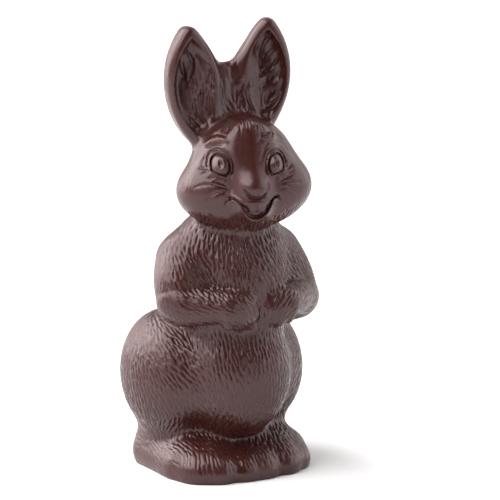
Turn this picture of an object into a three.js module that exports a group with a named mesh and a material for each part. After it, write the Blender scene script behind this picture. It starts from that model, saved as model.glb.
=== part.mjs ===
// A moulded dark chocolate bunny, standing upright with its paws held together on its belly.
// It is one closed piece. Millimetres, +Z up, the bunny faces -Y, +X is its own left side,
// and the origin is the middle of the flat base that it stands on.
import * as THREE from "three";

// Driving dimensions.
const GRID_STEP = 0.8; // spacing of the grid that the surface is read from
const MOST_TRIANGLES = 11800;
const FLAT = 0.02; // a point this low lies on the flat base

// Distance functions. A form is a function of x, y, z that is negative inside it.

// A form drawn in a frame of its own, set at a point and turned by yaw, pitch and roll in degrees.
function placed(form, [cx, cy, cz], [yaw = 0, pitch = 0, roll = 0] = []) {
  const [z, x, y] = [yaw, pitch, roll].map(THREE.MathUtils.degToRad);
  const turn = new THREE.Matrix4().makeRotationFromEuler(new THREE.Euler(x, y, z, "ZXY"));
  const [a, b, c, , d, e, f, , g, h, i] = turn.elements;
  return (px, py, pz) => {
    const u = px - cx;
    const v = py - cy;
    const w = pz - cz;
    return form(a * u + b * v + c * w, d * u + e * v + f * w, g * u + h * v + i * w);
  };
}

function ellipsoid(at, [a, b, c], turn) {
  const form = (x, y, z) => {
    const [u, v, w] = [x / a, y / b, z / c];
    const far = Math.sqrt(u * u + v * v + w * w);
    const steep = Math.sqrt((u / a) ** 2 + (v / b) ** 2 + (w / c) ** 2);
    return steep < 1e-9 ? -Math.min(a, b, c) : (far * (far - 1)) / steep;
  };
  return placed(form, at, turn);
}

// A round limb that tapers from one radius to the other, fuller halfway by its swell.
function limb([ax, ay, az], [bx, by, bz], fromRadius, toRadius, swell = 0) {
  const dx = bx - ax;
  const dy = by - ay;
  const dz = bz - az;
  const long2 = dx * dx + dy * dy + dz * dz;
  return (x, y, z) => {
    const t = ((x - ax) * dx + (y - ay) * dy + (z - az) * dz) / long2;
    const s = Math.min(1, Math.max(0, t));
    const u = x - ax - s * dx;
    const v = y - ay - s * dy;
    const w = z - az - s * dz;
    const radius = fromRadius + s * (toRadius - fromRadius) + swell * 4 * s * (1 - s);
    return Math.sqrt(u * u + v * v + w * w) - radius;
  };
}

const softMin = (a, b, k) => {
  const near = Math.max(k - Math.abs(a - b), 0);
  return Math.min(a, b) - (near * near) / (4 * k);
};

// Forms grown into each other, with a fillet of about k.
function joined(k, first, ...others) {
  return (x, y, z) => {
    let d = first(x, y, z);
    for (const form of others) d = softMin(d, form(x, y, z), k);
    return d;
  };
}

// A form with others pressed out of it, with an edge rounded by about k.
function pressed(k, form, ...tools) {
  return (x, y, z) => {
    let d = form(x, y, z);
    for (const tool of tools) d = -softMin(-d, tool(x, y, z), k);
    return d;
  };
}

// The distance in the XZ plane to a leaf's outline: two arcs that meet at its tips. Its half
// width and half height are a and c.
function leafOutline(a, c) {
  const inset = (c * c - a * a) / (2 * a);
  return (x, z) => {
    const u = Math.abs(x);
    const w = Math.abs(z);
    const pastTip = (w - c) * inset > u * c;
    return pastTip ? Math.hypot(u, w - c) : Math.hypot(u + inset, w) - (a + inset);
  };
}

// A flat leaf standing in the XZ plane, b thick to each side, with a rounded edge.
function leaf([a, b, c], edge) {
  const outline = leafOutline(a - edge, c - edge);
  return (x, y, z) => {
    const side = outline(x, z);
    const face = Math.abs(y) - (b - edge);
    const past = Math.hypot(Math.max(side, 0), Math.max(face, 0));
    return past + Math.min(Math.max(side, face), 0) - edge;
  };
}

const SIDES = [-1, 1]; // the bunny's right, then its left
const both = (make) => SIDES.map(make);

// The parts of the bunny.

function base() {
  return ellipsoid([0, 7, 4], [20, 23, 14]);
}

function lowerBody() {
  return joined(
    7,
    ellipsoid([0, -7, 41.5], [22, 23.5, 27]),
    ellipsoid([0.5, 21, 36.8], [28, 26.5, 26.8]),
    ...both((s) => ellipsoid([s * 18.7, 13.5, 38], [18.6, 26, 26], [s * 6])),
  );
}

function foot(s) {
  const toes = [5.4, 14.2, 22.6].map((across, i) =>
    ellipsoid([s * across + 0.4 * i, -20.3 + 1.6 * i * i, 3], [6.2, 7, 6.6]),
  );
  return joined(
    4,
    limb([s * 20, 19, 5.2], [s * 22 + 1, -5, 4.2], 11.2, 9.8),
    ellipsoid([s * 15, -5, 4], [14, 20, 11]),
    joined(2.5, ...toes),
  );
}

function tail() {
  return ellipsoid([0, 45, 30], [9, 7.5, 9.5]);
}

function chest() {
  return joined(
    9,
    ellipsoid([0.4, -8, 77], [22, 20.5, 25]),
    ellipsoid([0, 0, 88], [23, 17, 10]),
    ellipsoid([0, -3, 98], [18.5, 16, 9]),
  );
}

function upperArm(s) {
  const shoulder = [s * 21 + 0.6, -1.5, 85.4 - 0.6 * s];
  const elbow = [s * 26.4 + 0.6, -9, 70.6 - 1.7 * s];
  return limb(shoulder, elbow, 10.8, 9.4, 0.9);
}

// The valley between the chest and the arm.
function armValley(s) {
  return limb([s * 20.5, -20, 86], [s * 17.5, -25.5, 78], 2, 4);
}

function forearm(s) {
  const fingers = [4.2, 8.8, 13.4].map((across, i) => {
    const low = 64.4 - 0.8 * (i % 2);
    return limb([s * across, -27.4, 69], [s * across, -25.4, low], 2.9, 2.5);
  });
  const paw = joined(1.5, ellipsoid([s * 8.4, -25.2, 69.8], [8, 6.2, 7.6]), ...fingers);
  return joined(2, limb([s * 25, -13, 70.5], [s * 13, -24.4, 71], 8, 6.4), paw);
}

// The head, drawn in a frame of its own that faces -Y.
const HEAD_AT = [-0.3, -14.5, 117];
const HEAD_TURN = [-18];
const EYE = { middle: -1.1, across: 10.8, up: 10.2, halfWide: 3.3, halfHigh: 3.8, rise: 1.9 };
const SOCKET = { at: 1.06, halfWide: 0.2, depth: 0.8 }; // a groove round the eyeball, in its radii
const LID = { at: 1.32, halfWide: 0.22, rise: 0.5 };
const MOUTH = { middle: 0.4, depth: 2.2, gape: 6.3, halfWide: 6.9 };
const UPPER_LIP = { middle: -4.4, curl: 2.2, from: 4, to: 9 };
const TEETH = { middle: 1.2, low: -7.8, halfWide: 3.2, flare: 0.6, depth: 1 };
const RIDGE = { at: [0.4, -17.2, 12], tilt: 23, flankTurn: 11.5, blunt: 0.6 };

const clamp = (v) => Math.min(1, Math.max(0, v));
const smooth = (from, to, v) => {
  const t = clamp((v - from) / (to - from));
  return t * t * (3 - 2 * t);
};

// One at nought, falling off to nothing at one to either side.
const bump = (v) => clamp(1 - v * v) ** 2;

function eyeRelief(s, x, z) {
  const out = s * (x - EYE.middle) - EYE.across;
  const radius = Math.hypot(out / EYE.halfWide, (z - EYE.up) / EYE.halfHigh);
  const ball = EYE.rise * clamp(1 - radius * radius) ** 0.6;
  const socket = SOCKET.depth * bump((radius - SOCKET.at) / SOCKET.halfWide);
  const lid = LID.rise * bump((radius - LID.at) / LID.halfWide);
  return ball - socket + lid;
}

const upperLip = (x) =>
  UPPER_LIP.middle + UPPER_LIP.curl * smooth(UPPER_LIP.from, UPPER_LIP.to, Math.abs(x - MOUTH.middle));

const lowerLip = (x) => {
  const outward = Math.abs(x - MOUTH.middle) / MOUTH.halfWide;
  return upperLip(x) - MOUTH.gape * Math.max(1 - outward ** 1.7, 0);
};

function mouthRelief(x, z) {
  const inMouth = Math.min(upperLip(x) - z, z - lowerLip(x));
  const above = z - TEETH.low;
  const inTeeth = Math.min(above, TEETH.halfWide + TEETH.flare * above - Math.abs(x - TEETH.middle));
  const depth = MOUTH.depth + (TEETH.depth - MOUTH.depth) * smooth(-0.3, 0.3, inTeeth);
  return -depth * smooth(-0.2, 0.5, inMouth);
}

// How far the face stands proud of the plain head at x, z, seen from in front.
const faceRelief = (x, z) => eyeRelief(-1, x, z) + eyeRelief(1, x, z) + mouthRelief(x, z);

// The forehead and the bridge of the nose, cut to a flat flank on either side of a ridge.
function bridge() {
  const [tilt, turn] = [RIDGE.tilt, RIDGE.flankTurn].map(THREE.MathUtils.degToRad);
  const [ridgeX, ridgeY, ridgeZ] = RIDGE.at;
  const beyondFlanks = (x, y, z) => {
    const out = (z - ridgeZ) * Math.sin(tilt) - (y - ridgeY) * Math.cos(tilt);
    return -Math.cos(turn) * out - Math.sin(turn) * Math.hypot(x - ridgeX, RIDGE.blunt);
  };
  const brow = ellipsoid([0.3, -8, 13], [10.5, 12, 14], [0, 20]);
  return pressed(2.5, joined(3, brow, limb([0, -10, 10], [0, -15, 4.5], 6.6, 5.1)), beyondFlanks);
}

function head() {
  const skull = joined(
    7,
    ellipsoid([0.2, 3, 9], [20, 18.5, 17.5]),
    ellipsoid([0, -4, -4], [19, 12.5, 13.5]),
    ...both((s) => ellipsoid([s * 13.3, -1, -1 + 0.9 * s], [13.5, 14, 11.6])),
  );
  const muzzle = joined(
    2.5,
    ellipsoid([0, -13, -3.2], [9, 8.7, 8.4]),
    limb([0, -14.3, -4.5], [0, -14.3, 2.5], 7.2, 6.6),
    bridge(),
  );
  const plain = joined(3, skull, muzzle);
  const nose = ellipsoid([0.3, -19, 1.8], [4.8, 4, 3.5]);
  const face = (x, y, z) => plain(x, y, z) - faceRelief(x, z) * smooth(-3, -8, y);
  return placed(joined(2.6, face, nose), HEAD_AT, HEAD_TURN);
}

const EARS_AT = [-0.4, -2, 157];
const EAR = { across: 16.3, turn: -14, inward: 7, lean: 4, halfSize: [10.6, 5.2, 22.6], edge: 3.8 };
const EAR_UNLIKE = 0.8; // the left ear stands higher, and the right one lower, by this
const DISH = { halfWide: 8.7, halfHigh: 19.4, drop: -1, depth: 5.4 };
const DISH_LOPSIDED = 0.6; // how much deeper a dish is towards the outer edge of its ear

// An ear, hollowed from the front like a spoon.
function ear(s) {
  const whole = leaf(EAR.halfSize, EAR.edge);
  const opening = leafOutline(DISH.halfWide, DISH.halfHigh);
  const hollowed = (x, y, z) => {
    const inward = clamp(-opening(x, z - DISH.drop) / DISH.halfWide);
    const outward = 1 + (DISH_LOPSIDED * s * x) / DISH.halfWide;
    const depth = DISH.depth * Math.sqrt(1 - (1 - inward) ** 2) * outward;
    const front = (depth - EAR.halfSize[1] - y) * 0.7;
    return -softMin(-whole(x, y, z), -front, 1);
  };
  const turn = [EAR.turn - s * EAR.inward, 0, s * EAR.lean];
  return placed(hollowed, [s * EAR.across, 0, s * EAR_UNLIKE], turn);
}

function ears() {
  const web = joined(4, ellipsoid([0, 2, -9], [15, 4, 15]), ellipsoid([2.6, 1, -20], [13.2, 8, 12]));
  return placed(joined(9.5, web, ...both(ear)), EARS_AT);
}

function bunny() {
  const torso = joined(8, joined(9, lowerBody(), chest()), ...both(upperArm));
  const held = joined(0.8, ...both(forearm));
  const valleyed = pressed(5, torso, ...both(armValley));
  const standing = joined(9, joined(4, valleyed, base(), tail()), ...both(foot));
  const body = joined(2, standing, held);
  const whole = joined(4, body, joined(4, head(), ears()));
  return (x, y, z) => Math.max(whole(x, y, z), -z);
}

// The surface of a form inside a box, as one closed mesh of quads cut in two: a vertex in each
// cell of a grid that the surface crosses, and a quad round each edge of the grid that it crosses.
function surfaceOf(form, low, high, step) {
  const size = low.map((v, i) => Math.ceil((high[i] - v) / step) + 1);
  const [nx, ny, nz] = size;
  const stride = [1, nx, nx * ny];
  const values = new Float64Array(nx * ny * nz);
  const at = (i, j, k) => i + j * stride[1] + k * stride[2];
  for (let k = 0; k < nz; k++)
    for (let j = 0; j < ny; j++)
      for (let i = 0, end = 0; i < nx; i++) {
        const start = at(i, j, k);
        // Far from the surface the sign holds for half of the distance, so those cells are filled.
        if (i >= end) {
          values[start] = form(low[0] + i * step, low[1] + j * step, low[2] + k * step);
          end = i + Math.max(1, Math.floor(Math.abs(values[start]) / (2 * step)));
        } else values[start] = values[start - 1];
      }

  // A square of the grid whose opposite corners match and whose neighbours differ would pinch the
  // surface, so the nearer of its outside corners is taken inside.
  for (let pinched = true; pinched; ) {
    pinched = false;
    for (let a = 0; a < values.length - stride[1] - stride[2] - 1; a++)
      for (const [u, w] of [[1, nx], [1, nx * ny], [nx, nx * ny]]) {
        const square = [a, a + u, a + u + w, a + w];
        const [p, q, r, s] = square.map((corner) => values[corner] < 0);
        if (p !== r || q !== s || p === q) continue;
        const [b, c] = square.filter((corner) => values[corner] >= 0);
        values[values[b] < values[c] ? b : c] = -0.01 * step;
        pinched = true;
      }
  }

  const corners = [0, 1, 2, 3, 4, 5, 6, 7].map((c) => [c & 1, (c >> 1) & 1, (c >> 2) & 1]);
  const edges = corners.flatMap((a, p) =>
    [1, 2, 4].filter((bit) => !(p & bit)).map((bit) => [p, p | bit]),
  );
  const vertexOf = new Map();
  const points = [];
  for (let k = 0; k < nz - 1; k++)
    for (let j = 0; j < ny - 1; j++)
      for (let i = 0; i < nx - 1; i++) {
        const v = corners.map(([a, b, c]) => values[at(i + a, j + b, k + c)]);
        const crossed = edges.filter(([p, q]) => v[p] < 0 !== v[q] < 0);
        if (!crossed.length) continue;
        const sum = [0, 0, 0];
        for (const [p, q] of crossed) {
          const t = v[p] / (v[p] - v[q]);
          for (let axis = 0; axis < 3; axis++)
            sum[axis] += corners[p][axis] + t * (corners[q][axis] - corners[p][axis]);
        }
        vertexOf.set(at(i, j, k), points.length);
        points.push([i, j, k].map((n, axis) => low[axis] + step * (n + sum[axis] / crossed.length)));
      }

  const faces = [];
  for (let k = 1; k < nz - 1; k++)
    for (let j = 1; j < ny - 1; j++)
      for (let i = 1; i < nx - 1; i++)
        for (let axis = 0; axis < 3; axis++) {
          const here = at(i, j, k);
          const inside = values[here] < 0;
          if (inside === values[here + stride[axis]] < 0) continue;
          const [u, w] = [stride[(axis + 1) % 3], stride[(axis + 2) % 3]];
          const ring = [here - u - w, here - w, here, here - u].map((cell) => vertexOf.get(cell));
          const [a, b, c, d] = inside ? ring : ring.reverse();
          faces.push([a, b, c], [a, c, d]);
        }
  return { points, faces };
}

// A heap of collapses, cheapest first.
function heapOf() {
  const items = [];
  const swap = (i, j) => ([items[i], items[j]] = [items[j], items[i]]);
  const push = (item) => {
    let i = items.push(item) - 1;
    while (i > 0 && items[i].cost < items[(i - 1) >> 1].cost) {
      swap(i, (i - 1) >> 1);
      i = (i - 1) >> 1;
    }
  };
  const pop = () => {
    swap(0, items.length - 1);
    const top = items.pop();
    for (let i = 0; ; ) {
      let least = i;
      for (const child of [2 * i + 1, 2 * i + 2])
        if (child < items.length && items[child].cost < items[least].cost) least = child;
      if (least === i) return top;
      swap(i, least);
      i = least;
    }
  };
  return { push, pop, items };
}

const minus = (a, b) => [a[0] - b[0], a[1] - b[1], a[2] - b[2]];
const dot = (a, b) => a[0] * b[0] + a[1] * b[1] + a[2] * b[2];
const cross = (a, b) => [
  a[1] * b[2] - a[2] * b[1],
  a[2] * b[0] - a[0] * b[2],
  a[0] * b[1] - a[1] * b[0],
];
const normalOf = (a, b, c) => cross(minus(b, a), minus(c, a));

// A mesh brought down to a number of faces: two joined points become one, again and again, at
// the place nearest to the planes of all the faces that met at them, cheapest first.
function simplified({ points, faces }, most) {
  // A point's planes, as the upper half of a symmetric matrix, row by row, times their areas.
  const planes = points.map(() => new Float64Array(10));
  const facesOf = points.map(() => new Set());
  faces.forEach((face, f) => {
    const normal = normalOf(...face.map((v) => points[v]));
    const size = Math.sqrt(dot(normal, normal)) || 1e-12;
    const [a, b, c] = normal.map((v) => v / size);
    const d = -dot([a, b, c], points[face[0]]);
    const terms = [a * a, a * b, a * c, a * d, b * b, b * c, b * d, c * c, c * d, d * d];
    for (const v of face) {
      facesOf[v].add(f);
      terms.forEach((term, i) => (planes[v][i] += term * size));
    }
  });

  const costAt = (q, [x, y, z]) =>
    q[0] * x * x + q[4] * y * y + q[7] * z * z + q[9] +
    2 * (q[1] * x * y + q[2] * x * z + q[5] * y * z + q[3] * x + q[6] * y + q[8] * z);
  const version = new Int32Array(points.length);
  const heap = heapOf();
  const consider = (u, v) => {
    const q = planes[u].map((term, i) => term + planes[v][i]);
    const middle = [0, 1, 2].map((i) => (points[u][i] + points[v][i]) / 2);
    // A weak pull to the middle keeps the place well defined where the faces are flat.
    const pull = 1e-3 * (q[0] + q[4] + q[7]);
    const rows = [[q[0] + pull, q[1], q[2]], [q[1], q[4] + pull, q[5]], [q[2], q[5], q[7] + pull]];
    const want = [pull * middle[0] - q[3], pull * middle[1] - q[6], pull * middle[2] - q[8]];
    const whole = dot(rows[0], cross(rows[1], rows[2]));
    const place = [0, 1, 2].map((i) => {
      const columns = rows.map((row, r) => row.map((value, c) => (c === i ? want[r] : value)));
      return dot(columns[0], cross(columns[1], columns[2])) / whole;
    });
    heap.push({ cost: costAt(q, place), u, v, place, q, stamp: version[u] + version[v] });
  };
  const edgesAt = (v, visit) => {
    const seen = new Set([v]);
    for (const f of facesOf[v])
      for (const w of faces[f])
        if (!seen.has(w)) {
          seen.add(w);
          visit(w);
        }
    return seen;
  };
  const folds = (v, other, place) =>
    [...facesOf[v]].some((f) => {
      if (faces[f].includes(other)) return false;
      const before = normalOf(...faces[f].map((w) => points[w]));
      const after = normalOf(...faces[f].map((w) => (w === v ? place : points[w])));
      return dot(before, after) < 0.3 * Math.sqrt(dot(before, before) * dot(after, after));
    });

  points.forEach((_, v) => edgesAt(v, (w) => v < w && consider(v, w)));
  let left = faces.length;
  while (left > most && heap.items.length) {
    const { u, v, place, q, stamp } = heap.pop();
    if (!facesOf[u].size || !facesOf[v].size || stamp !== version[u] + version[v]) continue;
    const around = edgesAt(u, () => {});
    let shared = 0;
    edgesAt(v, (w) => (shared += around.has(w) && w !== u));
    if (shared !== 2 || folds(u, v, place) || folds(v, u, place)) continue;
    for (const f of facesOf[v]) {
      if (faces[f].includes(u)) {
        for (const w of faces[f]) if (w !== v) facesOf[w].delete(f);
        faces[f] = null;
        left -= 1;
      } else {
        faces[f] = faces[f].map((w) => (w === v ? u : w));
        facesOf[u].add(f);
      }
    }
    facesOf[v].clear();
    points[u] = place;
    planes[u] = q;
    version[u] += 1;
    version[v] += 1;
    edgesAt(u, (w) => consider(u, w));
  }

  const kept = new Map();
  const outPoints = [];
  const outFaces = faces.filter(Boolean).map((face) =>
    face.map((v) => {
      if (!kept.has(v)) {
        kept.set(v, outPoints.length);
        outPoints.push(points[v]);
      }
      return kept.get(v);
    }),
  );
  return { points: outPoints, faces: outFaces };
}

const whole = surfaceOf(bunny(), [-45, -45, -1.5 * GRID_STEP], [45, 58, 185], GRID_STEP);
const { points, faces } = simplified(whole, MOST_TRIANGLES);
const floor = points.map(([x, y, z]) => [x, y, z < FLAT ? 0 : z]);

const geometry = new THREE.BufferGeometry();
geometry.setAttribute("position", new THREE.Float32BufferAttribute(floor.flat(), 3));
geometry.setIndex(faces.flat());
geometry.computeVertexNormals();

const chocolate = new THREE.MeshStandardMaterial({ color: 0x3a1a14, roughness: 0.35, metalness: 0 });
const mesh = new THREE.Mesh(geometry, chocolate);
mesh.name = "bunny";

const model = new THREE.Group();
model.add(mesh);
export default model;
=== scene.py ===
"""Looks of a moulded dark chocolate bunny: its fur, its face and its satin chocolate.

The form is worked out in millimetres from the same sizes as the part's source, but for a slightly
refined face, and on a finer grid. The fur, the lines of the face and the locks in the ears are
then pressed into it. The bunny faces -Y, and +X is its own left side. Scene units are metres.
"""

import math

import bpy
import numpy as np
from mathutils import Matrix, Vector


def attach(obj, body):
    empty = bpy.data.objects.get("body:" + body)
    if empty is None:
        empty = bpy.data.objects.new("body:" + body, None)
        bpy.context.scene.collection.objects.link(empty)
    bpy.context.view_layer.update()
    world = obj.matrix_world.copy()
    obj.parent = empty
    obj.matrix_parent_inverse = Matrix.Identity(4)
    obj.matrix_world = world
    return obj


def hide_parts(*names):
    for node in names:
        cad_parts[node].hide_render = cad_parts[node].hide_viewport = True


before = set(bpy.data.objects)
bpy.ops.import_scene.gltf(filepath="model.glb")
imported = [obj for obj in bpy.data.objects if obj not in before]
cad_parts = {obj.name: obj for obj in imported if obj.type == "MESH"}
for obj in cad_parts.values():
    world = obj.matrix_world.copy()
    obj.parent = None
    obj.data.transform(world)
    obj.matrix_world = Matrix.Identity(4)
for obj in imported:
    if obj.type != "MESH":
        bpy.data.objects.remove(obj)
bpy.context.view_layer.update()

MM = 0.001
GRID_STEP = 0.3  # spacing of the grid that the surface is read from
GRID_BOX = ((-45, -45, -3), (45, 58, 185))
SLOPE_STEP = 0.4  # how far apart a form is compared for its slope
MOST_TRIANGLES = 198000

SIDES = (-1, 1)  # the bunny's right, then its left


# Distance functions. A form is a function of an array of points, one a row, and it is negative
# inside.


def turned(yaw, pitch, roll):
    """The rotation about Z, then X, then Y, of angles in degrees."""
    about = zip("ZXY", (yaw, pitch, roll))
    yawed, pitched, rolled = (Matrix.Rotation(math.radians(angle), 3, axis) for axis, angle in about)
    return np.array(yawed @ pitched @ rolled, np.float32)


def placed(form, at, turn=(0, 0, 0)):
    """A form drawn in a frame of its own, set at a point and turned by yaw, pitch and roll."""
    at = np.float32(at)
    spin = turned(*turn)
    if not any(turn):
        return lambda p: form(p - at)
    return lambda p: form((p - at) @ spin)


def length(v):
    return np.sqrt(np.einsum("ij,ij->i", v, v))


def ellipsoid(at, size, turn=(0, 0, 0)):
    size = np.float32(size)

    def form(p):
        scaled = p / size
        far = length(scaled)
        steep = np.maximum(length(scaled / size), 1e-6)
        return far * (far - 1) / steep

    return placed(form, at, turn)


def limb(start, end, start_radius, end_radius, swell=0):
    """A round limb that tapers from one radius to the other, fuller halfway by its swell."""
    start = np.float32(start)
    along = np.float32(end) - start

    def form(p):
        q = p - start
        t = np.clip(q @ along / (along @ along), 0, 1)
        radius = start_radius + t * (end_radius - start_radius) + swell * 4 * t * (1 - t)
        return length(q - t[:, None] * along) - radius

    return form


def soft_min(a, b, k):
    """The lesser of two values, with the corner between them rounded by about k."""
    near = np.maximum(k - np.abs(a - b), 0)
    return np.minimum(a, b) - near * near / (4 * k)


def joined(k, *forms):
    """Forms grown into each other, with a fillet of about k."""

    def form(p):
        d = forms[0](p)
        for other in forms[1:]:
            d = soft_min(d, other(p), k)
        return d

    return form


def pressed(k, whole, *tools):
    """A form with others pressed out of it, with an edge rounded by about k."""

    def form(p):
        d = whole(p)
        for tool in tools:
            d = -soft_min(-d, tool(p), k)
        return d

    return form


def leaf_outline(half_wide, half_high):
    """The distance in the XZ plane to two arcs that meet at their tips."""
    inset = (half_high**2 - half_wide**2) / (2 * half_wide)

    def outline(x, z):
        u, w = np.abs(x), np.abs(z)
        past_tip = (w - half_high) * inset > u * half_high
        from_tip = np.hypot(u, w - half_high)
        from_arc = np.hypot(u + inset, w) - (half_wide + inset)
        return np.where(past_tip, from_tip, from_arc)

    return outline


def leaf(half_wide, half_thick, half_high, edge):
    """A flat leaf standing in the XZ plane, with a rounded edge."""
    outline = leaf_outline(half_wide - edge, half_high - edge)

    def form(p):
        side = outline(p[:, 0], p[:, 2])
        face = np.abs(p[:, 1]) - (half_thick - edge)
        past = np.hypot(np.maximum(side, 0), np.maximum(face, 0))
        return past + np.minimum(np.maximum(side, face), 0) - edge

    return form


def both(make):
    """What is made on the bunny's right, then on its left."""
    return [make(s) for s in SIDES]


def smooth(start, end, v):
    """Nought before the start and one past the end, easing in and out between them."""
    t = np.clip((v - start) / (end - start), 0, 1)
    return t * t * (3 - 2 * t)


# The parts of the bunny.


def base():
    """The core that the feet grow out of."""
    return ellipsoid((0, 7, 4), (20, 23, 14))


def lower_body():
    belly = ellipsoid((0, -7, 41.5), (22, 23.5, 27))
    rump = ellipsoid((0.5, 21, 36.8), (28, 26.5, 26.8))
    haunches = both(lambda s: ellipsoid((s * 18.7, 13.5, 38), (18.6, 26, 26), (s * 6, 0, 0)))
    return joined(7, belly, rump, *haunches)


def foot(s):
    """A long flat foot with three toes."""
    toes = [
        ellipsoid((s * across + 0.4 * i, -20.3 + 1.6 * i * i, 3), (6.2, 7, 6.6))
        for i, across in enumerate((5.4, 14.2, 22.6))
    ]
    sole = limb((s * 20, 19, 5.2), (s * 22 + 1, -5, 4.2), 11.2, 9.8)
    instep = ellipsoid((s * 15, -5, 4), (14, 20, 11))
    return joined(4, sole, instep, joined(2.5, *toes))


def tail():
    return ellipsoid((0, 45, 30), (9, 7.5, 9.5))


def chest():
    breast = ellipsoid((0.4, -8, 77), (22, 20.5, 25))
    shoulders = ellipsoid((0, 0, 88), (23, 17, 10))
    neck = ellipsoid((0, -3, 98), (18.5, 16, 9))
    return joined(9, breast, shoulders, neck)


def upper_arm(s):
    return limb((s * 21 + 0.6, -1.5, 85.4 - 0.6 * s), (s * 26.4 + 0.6, -9, 70.6 - 1.7 * s), 10.8, 9.4, 0.9)


def arm_valley(s):
    """The valley between the chest and the arm."""
    return limb((s * 20.5, -20, 86), (s * 17.5, -25.5, 78), 2, 4)


def forearm(s):
    """A forearm that crosses the belly, with its paw and fingers."""
    fingers = [
        limb((s * across, -27.4, 69), (s * across, -25.4, 64.4 - 0.8 * (i % 2)), 2.9, 2.5)
        for i, across in enumerate((4.2, 8.8, 13.4))
    ]
    paw = joined(1.5, ellipsoid((s * 8.4, -25.2, 69.8), (8, 6.2, 7.6)), *fingers)
    return joined(2, limb((s * 25, -13, 70.5), (s * 13, -24.4, 71), 8, 6.4), paw)


# The head, drawn in a frame of its own that faces -Y.

HEAD_AT = np.float32((-0.3, -14.5, 117))
HEAD_TURN = (-18, 0, 0)
EYES_AT = (-1.1, 10.2)  # the middle between both eyes
EYE_ACROSS = 10.8
EYE_SIZE = (3.2, 4.4)
EYE_DROP = 0.6  # how far below its middle an eye is widest
EYE_RISE = 1.9
LOWER_LID = -3.3  # the height of its middle, from the eye's own
LOWER_LID_TILT = 0.2  # how much it rises for each step outwards
# Rings round an eye, in shares of its size: how far out each lies and how wide it reaches.
SOCKET_AT, SOCKET_REACH, SOCKET_DEPTH = 1.04, 0.12, 0.65
CORNER_REACH = 0.08  # how much wider the socket is at the eye's inner corner
LID_AT, LID_REACH, LID_RISE = 1.19, 0.14, 0.6
FOLD_AT, FOLD_REACH, FOLD_DEPTH = 1.38, 0.12, 0.6
PUPIL_AT = (-0.1, 0.4)
PUPIL_SIZE = (1.0, 1.8)
PUPIL_DEPTH = 0.7
PUPIL_RIM = 0.3

MOUTH_END = 10.2
MOUTH_MIDDLE = 0.4
MOUTH_DEPTH = 1.45
UPPER_LIP = -4.4
SMILE = 2.2  # how much higher the corners of the mouth are than its middle
GAPE = 6.3
GAPE_END = 6.9
GAPE_POWER = 2.1  # the larger, the squarer the lower lip's curve
CHIN_ASIDE = 0.7  # how far the lower lip lies to the bunny's left of the mouth's middle
LIP_RISE = 0.6
CREASE_DEPTH = 0.9
CREASE_REACH = 0.55
TEETH_MIDDLE = 1.2
TEETH_LOW = -8.1
TEETH_HALF_WIDE = 3.2  # at their lower edge
TEETH_FLARE = 0.6  # how much wider to each side they are for each step up
TEETH_DEPTH = 0.7
TEETH_EDGE = 0.4
TEETH_SPLIT = 0.45
TEETH_RISE = 0.55


def bump(v):
    """One at nought, falling off to nothing at one to either side."""
    return np.clip(1 - v * v, 0, 1) ** 2


def eye_relief(s, x, z):
    """An eye on one side: its ball and pupil, in a socket with a lid and a fold round it."""
    out = s * (x - EYES_AT[0]) - EYE_ACROSS
    up = z - EYES_AT[1]
    round_ball = np.hypot(out / EYE_SIZE[0], (up + EYE_DROP) / EYE_SIZE[1])
    lower_lid = LOWER_LID + 0.02 * (out + 1) ** 2 + LOWER_LID_TILT * out
    edge = np.maximum(round_ball, 1 + (lower_lid - up) / EYE_SIZE[1])
    arch = smooth(lower_lid - 0.6, lower_lid + 1.4, up)
    ball = EYE_RISE * np.clip(1 - round_ball**2, 0, 1) ** 0.6 * smooth(1.02, 0.97, edge)
    inner_corner = smooth(0.5, -2.5, out)
    aside = 0.5 + 0.5 * np.clip(np.abs(out) / EYE_SIZE[0], 0, 1) ** 2
    socket = SOCKET_DEPTH * aside * bump((edge - SOCKET_AT) / (SOCKET_REACH + CORNER_REACH * inner_corner))
    lid = LID_RISE * bump((edge - LID_AT) / LID_REACH) * (0.5 + 0.5 * arch)
    fold = FOLD_DEPTH * bump((edge - FOLD_AT) / FOLD_REACH) * arch

    # Both pupils look the same way, so they aren't mirrored as the eyes are.
    from_pupil = np.hypot((s * out - PUPIL_AT[0]) / PUPIL_SIZE[0], (up - PUPIL_AT[1]) / PUPIL_SIZE[1])
    pupil = PUPIL_DEPTH * bump(from_pupil) - PUPIL_RIM * bump((from_pupil - 1.1) / 0.4)
    return ball - socket + lid - fold - pupil


def upper_lip(x):
    """The height of the mouth's upper edge."""
    u = np.abs(x - MOUTH_MIDDLE)
    return UPPER_LIP + SMILE * smooth(4, 9, u)


def lower_lip(x):
    """The height of the mouth's lower edge, which meets the upper one short of its corners."""
    u = np.abs(x - MOUTH_MIDDLE - CHIN_ASIDE) / GAPE_END
    return upper_lip(x) - GAPE * np.maximum(1 - u**GAPE_POWER, 0)


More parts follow.
